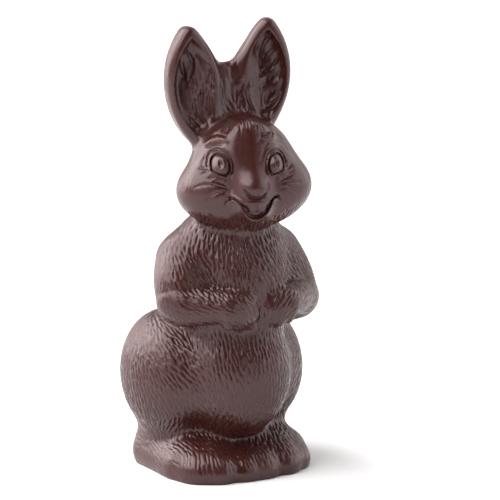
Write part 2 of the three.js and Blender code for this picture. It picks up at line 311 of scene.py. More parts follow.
def mouth_relief(x, z):
    """The open mouth with its lips, the teeth in it, and the creases at its corners."""
    top, bottom = upper_lip(x), lower_lip(x)
    in_mouth = np.minimum(top - z, z - bottom)
    across = np.abs(x - TEETH_MIDDLE)
    in_teeth = np.minimum(z - TEETH_LOW, TEETH_HALF_WIDE + (z - TEETH_LOW) * TEETH_FLARE - across)
    teeth_edge = bump((in_teeth - TEETH_EDGE) / TEETH_EDGE)
    teeth_depth = TEETH_DEPTH - TEETH_RISE * teeth_edge - TEETH_RISE * bump(across / TEETH_SPLIT)
    depth = MOUTH_DEPTH + (teeth_depth - MOUTH_DEPTH) * smooth(-0.25, 0.25, in_teeth)
    u = np.abs(x - MOUTH_MIDDLE)
    within = smooth(MOUTH_END + 0.6, MOUTH_END - 1.5, u)
    crease = CREASE_DEPTH * bump((z - top) / CREASE_REACH) * smooth(5, 7, u) * within
    lips = LIP_RISE * within * (0.7 * bump((z - top - 0.8) / 0.8) + bump((z - bottom + 0.9) / 0.95))
    return lips - crease - depth * smooth(-0.1, 0.8, in_mouth)


def face_relief(x, z):
    """How far the face stands proud of the plain head at x, z, seen from in front."""
    return eye_relief(-1, x, z) + eye_relief(1, x, z) + mouth_relief(x, z)


RIDGE_AT = (0.4, -17.2, 12)
RIDGE_TILT = 23  # how far the ridge leans back from upright, in degrees
RIDGE_BLUNT = 0.6
FLANK_TURN = 11.5  # how far each flank is turned to its own side, in degrees


def bridge():
    """The forehead and the bridge of the nose, cut to a flat flank on either side of a ridge."""
    tilt, turn = math.radians(RIDGE_TILT), math.radians(FLANK_TURN)

    def beyond_flanks(p):
        x, y, z = (p - np.float32(RIDGE_AT)).T
        out = z * math.sin(tilt) - y * math.cos(tilt)
        return -math.cos(turn) * out - math.sin(turn) * np.hypot(x, RIDGE_BLUNT)

    brow = ellipsoid((0.3, -8, 13), (10.5, 12, 14), (0, 20, 0))
    nose_bridge = limb((0, -10, 10), (0, -13.7, 4.5), 6.6, 6.4)
    return pressed(2.5, joined(3, brow, nose_bridge), beyond_flanks)


def head():
    """The head: its skull and cheeks, the muzzle, and the face with its nose."""
    skull = joined(
        7,
        ellipsoid((0.2, 3, 9), (20, 18.5, 17.5)),
        ellipsoid((0, -4, -4), (19, 12.5, 13.5)),
        *both(lambda s: ellipsoid((s * 13.3, -1, -1 + 0.9 * s), (13.5, 14, 11.6))),
    )
    chin = ellipsoid((0, -13, -3.2), (9, 8.7, 8.4))
    snout = limb((0, -14.3, -4.5), (0, -14.3, 2.5), 7.2, 6.6)
    muzzle = joined(2.5, chin, snout, bridge())
    plain = joined(3, skull, muzzle)
    nose = ellipsoid((0.3, -19, 1.8), (4.8, 4, 3.5))

    def face(p):
        return plain(p) - face_relief(p[:, 0], p[:, 2]) * smooth(-3, -8, p[:, 1])

    return placed(joined(2.6, face, nose), HEAD_AT, HEAD_TURN)


EARS_AT = np.float32((-0.4, -2, 157))
EAR_ACROSS = 16.3
EAR_UNLIKE = 0.8  # the bunny's left ear stands higher than the middle of both by this
EAR_INWARD = 7
EAR_LEAN = 4
EAR_SIZE = (10.6, 5.2, 22.6)
EAR_EDGE = 3.8
EAR_TURN = -14  # both ears are turned with the head
DISH_SIZE = (8.7, 19.4)
DISH_DROP = -1
DISH_DEPTH = 5.4
DISH_LOPSIDED = 0.6  # how much deeper the dish is towards its outer edge


def ear_place(s):
    """Where the middle of an ear is, from the middle of both."""
    return (s * EAR_ACROSS, 0, s * EAR_UNLIKE)


def ear_turn(s):
    """The yaw, pitch and roll of an ear."""
    return (EAR_TURN - s * EAR_INWARD, 0, s * EAR_LEAN)


def ear(s):
    """An ear, hollowed from the front like a spoon."""
    whole = leaf(*EAR_SIZE, EAR_EDGE)
    opening = leaf_outline(*DISH_SIZE)

    def hollowed(p):
        inward = np.clip(-opening(p[:, 0], p[:, 2] - DISH_DROP) / DISH_SIZE[0], 0, 1)
        outward = 1 + DISH_LOPSIDED * s * p[:, 0] / DISH_SIZE[0]
        depth = DISH_DEPTH * np.sqrt(1 - (1 - inward) ** 2) * outward
        front = (depth - EAR_SIZE[1] - p[:, 1]) * 0.7
        return -soft_min(-whole(p), -front, 1)

    return placed(hollowed, ear_place(s), ear_turn(s))


def ears():
    """Both ears, with the web that joins them to each other and to the head."""
    web = joined(4, ellipsoid((0, 2, -9), (15, 4, 15)), ellipsoid((2.6, 1, -20), (13.2, 8, 12)))
    return placed(joined(9.5, web, *both(ear)), EARS_AT)


def paw_hollow():
    """The small dark hollow left between both paws."""
    return limb((-1, -36, 65), (-1, -27, 66), 1.5, 0.9)


def bunny():
    """The whole bunny, cut flat where it stands."""
    torso = joined(8, joined(9, lower_body(), chest()), *both(upper_arm))
    held = joined(0.8, *both(forearm))
    valleyed = pressed(5, torso, *both(arm_valley))
    standing = joined(9, joined(4, valleyed, base(), tail()), *both(foot))
    body = pressed(0.8, joined(2, standing, held), paw_hollow())
    whole = joined(4, body, joined(4, head(), ears()))
    return lambda p: np.maximum(whole(p), -p[:, 2])


# The surface of a form, read from a grid that is fine only near the surface.

CORNERS = np.array([(c & 1, c >> 1 & 1, c >> 2 & 1) for c in range(8)])
EDGES = [(a, a | bit) for a in range(8) for bit in (1, 2, 4) if not a & bit]
SQUARES = np.array([(0, 1, 3, 2), (0, 1, 5, 4), (0, 2, 6, 4)])
WALLS = [((0, 2, 6, 4), (-1, 0, 0)), ((0, 1, 5, 4), (0, -1, 0)), ((0, 1, 3, 2), (0, 0, -1)),
         ((1, 3, 7, 5), (1, 0, 0)), ((2, 3, 7, 6), (0, 1, 0)), ((4, 5, 7, 6), (0, 0, 1))]
HALVINGS = 3
REACH = 1.3  # a cell further from the surface than this many of its sides is left out


def cells_near(form, low, high, size):
    """The cells close to the surface, found by halving large ones."""
    cells = np.indices(np.ceil((high - low) / size).astype(int)).reshape(3, -1).T
    for halving in range(HALVINGS + 1):
        cells = cells[np.abs(form(low + np.float32((cells + 0.5) * size))) < REACH * size]
        if halving < HALVINGS:
            cells = (2 * cells[:, None] + CORNERS).reshape(-1, 3)
            size /= 2
    return cells


def unpinched(values, squares, step):
    """The values, mended where opposite corners of a square match and its neighbours differ, which
    would pinch the surface: the nearer of its outside corners is taken inside."""
    while True:
        inside = values[squares] < 0
        first, second, third, fourth = inside.T
        alternate = (first == third) & (second == fourth) & (first != second)
        if not alternate.any():
            return values
        outside = np.where(inside[alternate], np.inf, values[squares[alternate]])
        values[squares[alternate, np.argmin(outside, 1)]] = -0.01 * step


def surface_of(form, low, high, step):
    """Points and triangles: a point in each cell that the surface crosses, and two triangles
    round each edge of the grid that it crosses."""
    low, high = np.float32(low), np.float32(high)
    size = step * 2**HALVINGS
    cells = cells_near(form, low, high, size)
    shape = (np.ceil((high - low) / size).astype(np.int64) + 1) * 2**HALVINGS
    stride = np.array((shape[1] * shape[2], shape[2], 1))
    keys, values = np.empty(0, np.int64), np.empty(0, np.float32)

    # The cells across each wall that the surface crosses belong to it too.
    while True:
        wanted, corner_of = np.unique((cells[:, None] + CORNERS) @ stride, return_inverse=True)
        corner_of = corner_of.reshape(-1, 8)
        fresh = np.isin(wanted, keys, invert=True)
        grid = np.stack((wanted // stride[0], wanted // stride[1] % shape[1], wanted % shape[2]), 1)
        known = np.empty(len(wanted), np.float32)
        known[~fresh] = values
        known[fresh] = form(low + np.float32(grid[fresh] * step))
        keys, values = wanted, unpinched(known, corner_of[:, SQUARES].reshape(-1, 4), step)
        v = values[corner_of]
        inside = v < 0
        beyond = []
        for wall, way in WALLS:
            on_wall = inside[:, wall]
            beyond.append(cells[on_wall.any(1) & ~on_wall.all(1)] + way)
        beyond = np.unique(np.concatenate(beyond), axis=0)
        beyond = beyond[np.isin(beyond @ stride, cells @ stride, invert=True)]
        if not len(beyond):
            break
        cells = np.concatenate((cells, beyond))

    crossing = inside.any(1) & ~inside.all(1)
    cells, v = cells[crossing], v[crossing]
    total = np.zeros((len(cells), 3))
    count = np.zeros(len(cells))
    for a, b in EDGES:
        crossed = (v[:, a] < 0) != (v[:, b] < 0)
        t = np.where(crossed, v[:, a] / np.where(crossed, v[:, a] - v[:, b], 1), 0)
        total += crossed[:, None] * (CORNERS[a] + t[:, None] * (CORNERS[b] - CORNERS[a]))
        count += crossed
    points = low + (cells + total / count[:, None]) * step

    cell_keys = cells @ stride
    order = np.argsort(cell_keys)
    sorted_keys = cell_keys[order]
    triangles = []
    for axis in range(3):
        inside = v[:, 0] < 0
        crossed = np.flatnonzero(inside != (v[:, (1, 2, 4)[axis]] < 0))
        u, w = stride[(axis + 1) % 3], stride[(axis + 2) % 3]
        here = cell_keys[crossed]
        ring = np.stack((here - u - w, here - w, here, here - u), 1)
        ring = order[np.searchsorted(sorted_keys, ring)]
        ring = np.where(inside[crossed, None], ring, ring[:, ::-1])
        triangles += [ring[:, (0, 1, 2)], ring[:, (0, 2, 3)]]
    return points, np.concatenate(triangles)


def slopes(form, points, step):
    """The form's outward direction at each point."""
    points = np.float32(points)
    total = np.zeros_like(points)
    for toward in np.float32(((1, 1, 1), (1, -1, -1), (-1, 1, -1), (-1, -1, 1))):
        total += toward * form(points + toward * step)[:, None]
    return total / np.maximum(length(total), 1e-9)[:, None]


# Fur: staggered lens-shaped grooves, pressed in along the way that the fur lies.

FUR_DEPTH = 0.4
FUR_LENGTH = 5.2
FUR_APART = 1.35
FUR_WIDTH = 0.8
SPREAD = 0.6  # two grooves in line are no closer than this share of their length
JITTER = 0.1  # how far a groove may turn from the way the fur lies, in radians
UNEVEN = (0.8, 1.15)  # the least and most of a groove's length, in shares of the usual one
CANDIDATES = 90000
SEED = 5
FAINTEST = 0.1  # a groove shallower than this share of the usual one is left out
FUR_ENDS = 1.5  # how high above the floor the fur ends
SAME_SIDE = 0.3  # a groove marks only the surface that faces the way that its own place does
BATCHES = 4  # how many lots the grooves are worked out in, to save memory
HINT_SOFTNESS = 2  # how soon a hint's hold on its surroundings grows even, in square millimetres


def hint(at, toward, depth=1.0, longer=1.0, wider=1.0):
    """Which way the fur lies near a place, and how its grooves compare with the usual ones."""
    return (*at, *toward, depth, longer, wider)


def hint_pair(at, toward, *compared):
    """A hint, and its mirror image on the bunny's other side."""
    there, to_there = (-at[0], *at[1:]), (-toward[0], *toward[1:])
    return [hint(at, toward, *compared), hint(there, to_there, *compared)]


def fur_hints():
    rows = [
        # Chest.
        hint((-5, -27, 95), (0.25, 0, -1), 1.5),
        hint((-14, -22, 92), (0.05, 0, -1), 1.5),
        hint((-7, -28, 83), (0.15, 0, -1), 1.5),
        hint((-15, -23, 82), (0.1, 0, -1), 1.4),
        hint((3, -28, 94), (0.45, 0, -1), 1.5),
        hint((2, -29, 84), (0.4, 0, -1), 1.5),
        hint((10, -26, 96), (-0.3, 0, -1), 1.4),
        hint((11, -26, 86), (0.15, 0, -1), 1.4),
        hint((17, -20, 90), (0.2, 0, -1), 0.9),
        # Shoulders, upper arms and the valleys inside them.
        *hint_pair((-23, -8, 96), (-0.2, -0.3, -1), 0.4),
        *hint_pair((-33, -4, 84), (0.1, -0.1, -1), 0.2),
        *hint_pair((-27, -14, 90), (0.4, -0.2, -1), 0.9),
        hint((-22, -18, 86), (0.5, -0.2, -1), 1.4),
        hint((-21, -19, 79), (0.5, -0.2, -1), 1.4),
        hint((22, -18, 86), (0.5, 0.2, -1), 1.1),
        hint((24, -16, 79), (0.5, 0.2, -1), 1.0),
        *hint_pair((-35, -11, 72), (0.5, -0.3, -1), 0.35),
        # Forearms and paws.
        hint((-25, -20, 70), (1, -0.6, -0.4), 0.6, 1.1),
        hint((-19, -27, 70), (1, -0.3, -0.3), 0.6, 1.1),
        hint((-13, -30, 70), (1, -0.1, -0.4), 0.7),
        hint((-7, -31, 71), (0.7, 0, -0.7), 1.1),
        hint((-8, -30, 65), (0.5, 0, -0.9), 0.8),
        hint((25, -20, 70), (-1, -0.6, -0.3), 0.5),
        hint((18, -27, 71), (-0.9, -0.3, -0.4), 0.8),
        hint((11, -30, 71), (-0.7, 0, -0.7), 1.1),
        hint((6, -30, 67), (-0.5, 0, -0.9), 0.8),
        # The forearms' top edges, where the chest's fur ends in short strokes.
        hint((-19, -24, 77), (0.15, -0.2, -1), 1.5, 0.6, 0.9),
        hint((-12, -27, 77), (0.1, -0.2, -1), 1.5, 0.6, 0.9),
        hint((17, -24, 77), (0.2, -0.2, -1), 1.3, 0.6, 0.9),
        # Belly.
        hint((-19, -20, 59), (0.35, -0.1, -1), 1.1, 1.1),
        hint((-11, -27, 57), (0.3, 0, -1), 1.2, 1.1),
        hint((0, -30, 55), (0.1, 0, -1), 1.1, 1.1),
        hint((10, -28, 54), (0.1, 0, -1), 1.1),
        hint((19, -21, 54), (-0.1, 0, -1), 0.9),
        hint((0, -31, 40), (0.1, 0, -1), 1.0, 1.1),
        hint((-13, -27, 40), (0.3, 0, -1), 1.0),
        hint((14, -26, 38), (-0.1, 0, -1), 1.0),
        hint((0, -28, 25), (-0.2, 0, -1), 1.1),
        # Haunches.
        hint((-29, -2, 60), (0.5, -0.3, -1), 0.8),
        hint((-33, -2, 48), (0.6, -0.4, -1), 0.9),
        hint((-25, -14, 44), (0.7, -0.5, -1), 1.2, 1.1),
        hint((-36, 8, 40), (0.3, -0.3, -1), 0.8),
        hint((-26, -10, 29), (0.2, -0.2, -1), 1.0),
        *hint_pair((-34, 10, 26), (0, 0, -1), 0.9),
        *hint_pair((-27, -3, 18), (-0.5, 0.3, -1), 1.1),
        *hint_pair((-14, -18, 19), (-0.5, 0.2, -1), 1.2),
        hint((32, -2, 50), (-0.2, -0.3, -1), 0.8),
        hint((28, -10, 38), (-0.6, -0.3, -1), 1.0),
        hint((18, -20, 28), (-0.6, -0.3, -1), 1.1),
        # Rump, back, and the backs of the head and ears.
        *hint_pair((-25, 38, 45), (-0.2, 0.3, -1), 1.0, 1.4, 1.5),
        hint((0, 36, 62), (0, 1, -0.6), 1.0, 1.4, 1.5),
        hint((0, 48, 45), (0, 0.1, -1), 1.0, 1.4, 1.5),
        *hint_pair((-16, 36, 18), (0, 0, -1), 1.0, 1.4, 1.5),
        hint((0, 53, 30), (0, -0.2, -1), 1.1, 1.2, 1.2),
        hint((0, 18, 82), (0, 0.2, -1), 1.0, 1.4, 1.5),
        *hint_pair((-22, 8, 88), (-0.3, 0.2, -1), 0.9, 1.4, 1.5),
        hint((0, 13, 99), (0, 0.4, -1), 1.0, 1.4, 1.5),
        hint((0, 8, 125), (0, 0.1, -1), 1.0, 1.4, 1.5),
        *hint_pair((-16, 3, 158), (0, 0, -1), 0.7, 1.6, 1.5),
        hint((0, 4, 148), (0, 0, -1), 1.0, 1.4, 1.5),
        # Feet.
        *hint_pair((-31, 14, 10), (0.4, -1, -0.2), 0.5, 1.2),
        *hint_pair((-27, -4, 14), (0.5, -1, -0.3), 0.7, 1.1),
        *hint_pair((-18, -13, 14), (0.4, -0.8, -0.7), 0.8),
        *hint_pair((-7, -17, 13), (0.3, -0.7, -0.8), 0.8),
        *hint_pair((-5, -24, 9), (0, -0.3, -1), 0.8, 1.2),
        *hint_pair((-15, -24, 9), (0, -0.3, -1), 0.8, 1.2),
        *hint_pair((-25, -20, 9), (0, -0.3, -1), 0.7, 1.2),
        *hint_pair((-5, -27, 3), (0, 0, -1), 0),
        *hint_pair((-15, -27, 3), (0, 0, -1), 0),
        *hint_pair((-25, -23, 3), (0, 0, -1), 0),
        *hint_pair((-31, -6, 5), (0.2, -1, -0.4), 0.4),
        *hint_pair((-31, 14, 2), (0, 0, -1), 0),
        # Head: a smooth face with a fringe under the cheeks and chin, and a tuft between the ears.
        hint((0, -30, 130), (0, 0, -1), 0),
        *hint_pair((-6, -36, 117), (0, 0, -1), 0),
        *hint_pair((-18, -22, 118), (0, 0, -1), 0),
        *hint_pair((10, -30, 118), (0, 0, -1), 0),
        *hint_pair((14, -24, 124), (0, 0, -1), 0),
        *hint_pair((-16, -24, 128), (0, 0, -1), 0),
        *hint_pair((-4, -34, 107), (0, 0, -1), 0),
        *hint_pair((-20, -10, 128), (0, 0.3, -1), 0.1),
        *hint_pair((-20, -17, 103), (-0.2, 0.4, -1), 2.3, 1.1, 1.2),
        *hint_pair((-8, -28, 101), (-0.1, 0.5, -1), 2.3, 1.1, 1.2),
        hint((8, -26, 101), (0.1, 0.5, -1), 2.3, 1.1, 1.2),
        hint((-10.4, -22.8, 137), (0, 0, -1), 0),
        hint((-4.2, -26.4, 138), (0, 0, -1), 0),
        hint((3, -27.2, 137), (0, 0, -1), 0),
        hint((10, -22, 137), (0, 0, -1), 0),
        *hint_pair((-14, -24, 109), (0, 0, -1), 0),
        *hint_pair((-22, -16, 110), (0, 0, -1), 0),
        hint((-8, -18.4, 143), (-0.7, -0.4, -0.7), 1.8),
        hint((-2.8, -22, 143), (-0.1, -0.8, -0.6), 1.8),
        hint((3.5, -22, 143), (0.5, -0.7, -0.6), 1.8),
        hint((8, -16, 143), (0.8, -0.4, -0.6), 1.5),
        # Web between the ears.
        hint((-7, -5, 154), (0.45, 0, -1), 1.6, 1.8, 1.1),
        hint((-5, -5, 147), (0.3, 0, -1), 1.6, 1.6, 1.1),
        hint((6, -5, 154), (-0.4, 0, -1), 1.6, 1.8, 1.1),
        hint((5, -5, 147), (-0.2, 0, -1), 1.6, 1.6, 1.1),
        hint((0, -4, 160), (0, 0, -1), 0.8, 1.4),
        # Fine strokes between the long locks in the ears' dishes.
        hint((-19, 1, 168), (0.05, 0, -1), 0.3, 1.8, 1.7),
        hint((-21, 1, 158), (-0.1, 0, -1), 0.1, 1.8, 1.4),
        hint((-13, 0, 161), (0.3, 0, -1), 0.9, 2.0, 1.7),
        hint((-12, 0, 150), (0.25, 0, -1), 0.9, 2.0, 1.7),
        hint((-16, 0, 144), (0.5, 0, -1), 0.7, 2.0, 1.7),
        hint((17, 0, 172), (0.2, 0, -1), 0.6, 1.7, 1.7),
        hint((21, 1, 165), (-0.5, 0, -1), 0.9, 1.7, 1.4),
        hint((20, 1, 155), (-0.6, 0, -1), 0.9, 1.7, 1.4),
        hint((18, 1, 147), (-0.9, 0, -1), 0.9, 1.7, 1.4),
        hint((11, -2, 158), (0, 0, -1), 0.1),
    ]
    # The rims of the ears stay smooth.
    for turn in range(24):
        angle = math.radians(15 * turn)
        across, up = 15.5 + 9.6 * math.sin(angle), 157 + 20.5 * math.cos(angle)
        rows += hint_pair((-across, -5, up), (0, 0, -1), 0)
    return np.array(rows, float)


def blended(rows, points):
    """The hints as felt at each point, the nearest most."""
    apart = ((points[:, None] - rows[None, :, :3]) ** 2).sum(2)
    weight = 1 / (apart + HINT_SOFTNESS) ** 2
    weight /= weight.sum(1, keepdims=True)
    toward = rows[:, 3:6] / length(rows[:, 3:6])[:, None]
    return weight @ np.hstack((toward, rows[:, 6:]))


# The columns of a row that stands for a groove.
AT, WAY, SIDE = slice(0, 3), slice(3, 6), slice(6, 9)
DEEP, HALF_LONG, HALF_WIDE = 9, 10, 11


def grooves_on(points, normals):
    """Where the fur's grooves are and how each lies, as rows."""
    rng = np.random.default_rng(SEED)
    pick = rng.choice(len(points), min(CANDIDATES, len(points)), replace=False)
    felt = blended(fur_hints(), points[pick])
    grooved = (felt[:, 3] > FAINTEST) & (points[pick, 2] > FUR_ENDS)
    pick, felt = pick[grooved], felt[grooved]
    normal = normals[pick]
    way = felt[:, :3] - (felt[:, :3] * normal).sum(1, keepdims=True) * normal
    way /= length(way)[:, None]
    side = np.cross(normal, way)
    angle = rng.normal(0, JITTER, len(pick))[:, None]
    way, side = way * np.cos(angle) + side * np.sin(angle), side * np.cos(angle) - way * np.sin(angle)
    long = FUR_LENGTH * felt[:, 4] * rng.uniform(*UNEVEN, len(pick))

    # Dart throwing: a groove is kept where it isn't crowded by one kept before it.
    reach = float((long * SPREAD).max())
    kept = {}
    chosen = []
    cells = np.floor(points[pick] / reach).astype(int).tolist()
    rows = np.column_stack((points[pick], way, side, long * SPREAD, FUR_APART * felt[:, 5])).tolist()
    around = [(i, j, k) for i in (-1, 0, 1) for j in (-1, 0, 1) for k in (-1, 0, 1)]
    for n, ((ci, cj, ck), (x, y, z, wx, wy, wz, sx, sy, sz, a, b)) in enumerate(zip(cells, rows)):
        crowded = False
        for i, j, k in around:
            for qx, qy, qz in kept.get((ci + i, cj + j, ck + k), ()):
                dx, dy, dz = qx - x, qy - y, qz - z
                along = (dx * wx + dy * wy + dz * wz) / a
                across = (dx * sx + dy * sy + dz * sz) / b
                if along * along + across * across < 1 and dx * dx + dy * dy + dz * dz < a * a:
                    crowded = True
                    break
            if crowded:
                break
        if not crowded:
            kept.setdefault((ci, cj, ck), []).append((x, y, z))
            chosen.append(n)
    chosen = np.array(chosen)
    return np.column_stack((
        points[pick[chosen]], way[chosen], side[chosen],
        felt[chosen, 3] * FUR_DEPTH, long[chosen] / 2, felt[chosen, 5] * FUR_WIDTH / 2,
    ))


def pairs_near(points, seeds, reach):
    """Every pair of a seed and a point that share a cell of this size or lie in cells side by side."""
    low = points.min(0) - 2 * reach
    shape = np.ceil((points.max(0) + 2 * reach - low) / reach).astype(np.int64)
    stride = np.array((shape[1] * shape[2], shape[2], 1))
    keys = np.floor((points - low) / reach).astype(np.int64) @ stride
    order = np.argsort(keys, kind="stable")
    cells, start, count = np.unique(keys[order], return_index=True, return_counts=True)
    around = (np.indices((3, 3, 3)).reshape(3, -1).T - 1) @ stride
    want = (np.floor((seeds - low) / reach).astype(np.int64) @ stride)[:, None] + around
    found = np.minimum(np.searchsorted(cells, want), len(cells) - 1)
    there = cells[found] == want
    seed = np.nonzero(there)[0]
    found = found[there]
    sizes = count[found]
    offset = np.arange(sizes.sum()) - np.repeat(np.cumsum(sizes) - sizes, sizes)
    return np.repeat(seed, sizes), order[np.repeat(start[found], sizes) + offset]


def fur_relief(points, normals):
    """How deep the fur's grooves are at each point."""
    grooves = grooves_on(points, normals)
    deep = np.zeros(len(points))
    reach = grooves[:, HALF_LONG].max()
    for part in np.array_split(grooves, BATCHES):
        seed, point = pairs_near(points, part[:, AT], reach)
        away = points[point] - part[seed, AT]
        along = (away * part[seed, WAY]).sum(1) / part[seed, HALF_LONG]
        across = (away * part[seed, SIDE]).sum(1) / part[seed, HALF_WIDE]
        lens = np.clip(1 - along**2, 0, 1)
        inside = lens > 0
        seed, point, lens, across = seed[inside], point[inside], lens[inside], across[inside]
        wall = np.clip(1 - (across / np.sqrt(lens)) ** 2, 0, 1)
        facing = (normals[point] * np.cross(part[seed, WAY], part[seed, SIDE])).sum(1) ** 2
        depth = part[seed, DEEP] * lens * wall * (facing > SAME_SIDE)
        np.maximum.at(deep, point, depth)
    return deep


# The lines of the face, in the head's own frame seen from in front: each has its points, half
# width and rise, where a rise below nought is a groove.

THIN = 0.42  # half the width of the finest lines
END_SHARE = 0.3  # a line narrows over this share of its length at either end
END_WIDTH = 0.35  # and this share of its width is left at its very end
LOCK_HALF_WIDE = 1.1  # of a long lock's groove in an ear
LOCK_DEPTH = 0.9


def face_lines():
    return [
        # Nose crease and mouth corners.
        ([(-4, 2), (-2.4, -0.6), (0.2, -1.8), (3, -1.3), (5.4, 1)], 0.9, -1),
        ([(-8.2, -2.4), (-9.8, -3), (-11, -5)], 0.65, -0.9),
        ([(-8.8, -2), (-9.6, -1.2), (-10.8, -1.8)], THIN, -0.5),
        ([(8.8, -2.6), (10.2, -2.2), (11.3, -4.1)], 0.65, -0.9),
        # Teeth: their outline and the split between them.
        ([(-3.6, -4.9), (-1.9, -8)], 0.5, -0.7),
        ([(6, -4.9), (4.3, -8)], 0.5, -0.7),
        ([(-2.1, -8), (1.2, -8.1), (4.5, -8)], 0.5, -0.8),
        ([(1, -4.6), (1.3, -8.1)], 0.5, -0.9),
        # Brows: an overlapping fold on the bunny's right, short hairs on its left.
        ([(-16, 18), (-14.7, 19.4), (-12.8, 20.7), (-10.9, 21.3), (-9, 20.7)], 0.6, -0.75),
        ([(-16.2, 17), (-13.6, 18.8), (-11, 19.6), (-8.4, 19)], 1.5, 0.6),
        ([(-16.6, 16), (-13.9, 16.7), (-12, 17.5), (-9.8, 17.8)], 0.6, -0.5),
        ([(3.7, 21.6), (5.3, 22.7), (8.1, 22.4), (10.2, 21.3)], 0.6, -0.6),
        ([(4.2, 20.8), (6, 22.4)], 0.45, -1),
        ([(6.2, 20.6), (8, 22.4)], 0.45, -1),
        ([(8.2, 20.2), (9.8, 21.8)], 0.45, -1),
        ([(10.2, 21.3), (12.6, 20), (14.2, 18)], 0.6, -0.4),
        ([(3.7, 19.8), (5.2, 20.4), (6.6, 20.8)], 0.6, -0.5),
        ([(4.6, 19.4), (8, 20.6), (11.4, 19.6)], 1.4, 0.9),
        # Soft creases over the bunny's left eye.
        ([(3.8, 12), (5.3, 15.6), (9, 17), (12.6, 15.8), (15, 12.2)], 0.7, -0.25),
        ([(4, 14.6), (6.4, 18), (9.6, 18.8), (13.4, 17.4), (16, 13.8)], 0.8, -0.25),
        # Lashes.
        ([(-18, 9.3), (-17.7, 11), (-17, 12.2)], THIN, -0.5),
        ([(-19.3, 8.7), (-17.9, 8), (-16.2, 7.8)], THIN, -0.6),
        ([(-18.7, 9.4), (-17, 8.7)], 0.45, -0.5),
        ([(-19.2, 6.2), (-17.7, 7.1), (-15.6, 7.6)], THIN, -0.5),
        ([(14.4, 7.4), (15.6, 8.2), (16.8, 9.4)], THIN, -0.6),
        ([(14, 6.2), (15.8, 6.6), (17.4, 7.4)], 0.5, -0.4),
        # Whiskers.
        ([(-21.8, 1.3), (-19.3, 2.5), (-15.9, 2.8), (-12.3, 2.1), (-9.6, 1.4)], THIN, -0.5),
        ([(-18.6, -3.4), (-16.5, -1.7), (-13.2, -0.1), (-10.4, 0.6)], THIN, -0.5),
        ([(-14.6, 4.2), (-11.8, 3.2), (-9.2, 2.1)], THIN, -0.5),
        ([(-16.8, 5.3), (-14.6, 5)], 0.5, -0.4),
        ([(10.6, 2.7), (13, 4.3), (17.4, 5.8)], THIN, -0.5),
        ([(11.1, 2.3), (13.8, 3.1), (20, 2.5)], THIN, -0.5),
        ([(11, 0.9), (14.2, 0.6), (18.4, -1.4)], THIN, -0.5),
    ]


def ear_locks(s):
    """The long locks in an ear's dish, as grooves in the ear's own frame."""
    if s < 0:
        paths = [
            [(-3.2, 15.9), (-3.1, 9.8), (-2.5, 3.7), (-1.6, 1.2)],
            [(-0.8, 12.8), (0.6, 8.8), (-0.3, 3.7), (-1.6, 1.2)],
            [(1.9, 11.8), (4.8, 7.8), (5.6, 3.7), (3.7, -1.3), (2.8, -5.4), (3.1, -9.4)],
            [(5.9, 7.8), (7.7, 2.7), (6.8, -2.3), (4.9, -6.4), (5.6, -12.5)],
            [(3, -2.3), (1.7, -6.4), (2, -10.4), (3.1, -16.5)],
            [(0.4, -5.4), (-0.3, -9.4), (0.4, -13.5)],
            [(-6.6, -9.4), (-4.7, -12.5), (-2.2, -15.5), (-0.2, -18.5)],
            [(-2.7, -12), (-0.8, -15.3), (0.6, -17.7)],
        ]
    else:
        paths = [
            [(-1.1, 17.3), (-2.9, 13.2), (-4.1, 8.7)],
            [(2.2, 15.3), (0.1, 13.2), (-1.1, 9.2), (-1.4, 6.7)],
            [(4.7, 13.2), (2.6, 9.2), (0.2, 4.6), (-1.6, 2.1)],
            [(5.7, 8.7), (4, 4.1), (1, 1.1), (-1.9, -1.1)],
            [(7, 4.1), (5.8, 0.1), (3.3, -3), (-0.1, -6)],
            [(7.8, -0.4), (6.6, -5), (4.6, -8), (1.3, -11.1)],
            [(7.6, -5.2), (6.4, -9), (3.4, -12.9), (0, -14.3)],
            [(-7.1, -6), (-5.7, -11.1), (-2.9, -15.1), (0.2, -17.1)],
            [(-8.4, -0.9), (-7.5, -7.5), (-4.9, -13.3)],
        ]
    return [(path, LOCK_HALF_WIDE, -LOCK_DEPTH) for path in paths]


def lock_relief(s, points):
    """The rise of the locks in one ear's dish."""
    x, y, z = ((points - EARS_AT - np.float32(ear_place(s))) @ turned(*ear_turn(s))).T
    in_dish = smooth(0.3, -0.6, leaf_outline(*DISH_SIZE)(x, z - DISH_DROP)) * (y < EAR_SIZE[1] / 2)
    return line_relief(ear_locks(s), x, z) * in_dish


def curve_through(points, steps=8):
    """Points along a smooth curve through the ones given."""
    knots = np.array(points, float)
    knots = np.vstack((2 * knots[0] - knots[1], knots, 2 * knots[-1] - knots[-2]))
    t = np.linspace(0, 1, steps, endpoint=False)[:, None]
    runs = []
    for a, b, c, d in zip(knots, knots[1:], knots[2:], knots[3:]):
        runs.append(b + t / 2 * (c - a + t * (2 * a - 5 * b + 4 * c - d + t * (3 * b - a - 3 * c + d))))
    return np.vstack(runs + [knots[-2:-1]])


def line_relief(lines, x, z):
    """The rise of lines at x, z: each fades towards its ends."""
    rise = np.zeros(len(x))
    for points, wide, high in lines:
        path = curve_through(points)
        near = np.flatnonzero(
            (x > path[:, 0].min() - wide) & (x < path[:, 0].max() + wide)
            & (z > path[:, 1].min() - wide) & (z < path[:, 1].max() + wide)
        )
        here = np.column_stack((x[near], z[near]))
        best = np.full(len(near), np.inf)
        where = np.zeros(len(near))
        for n, (a, b) in enumerate(zip(path, path[1:])):
            along = b - a
            t = np.clip((here - a) @ along / (along @ along), 0, 1)
            away = np.hypot(*(here - a - t[:, None] * along).T)
            closer = away < best
            best[closer] = away[closer]
            where[closer] = (n + t[closer]) / (len(path) - 1)
        taper = np.minimum(np.minimum(where, 1 - where) / END_SHARE, 1) * (1 - END_WIDTH) + END_WIDTH
        rise[near] += high * np.sqrt(taper) * bump(best / (wide * taper))
    return rise


# Making objects.


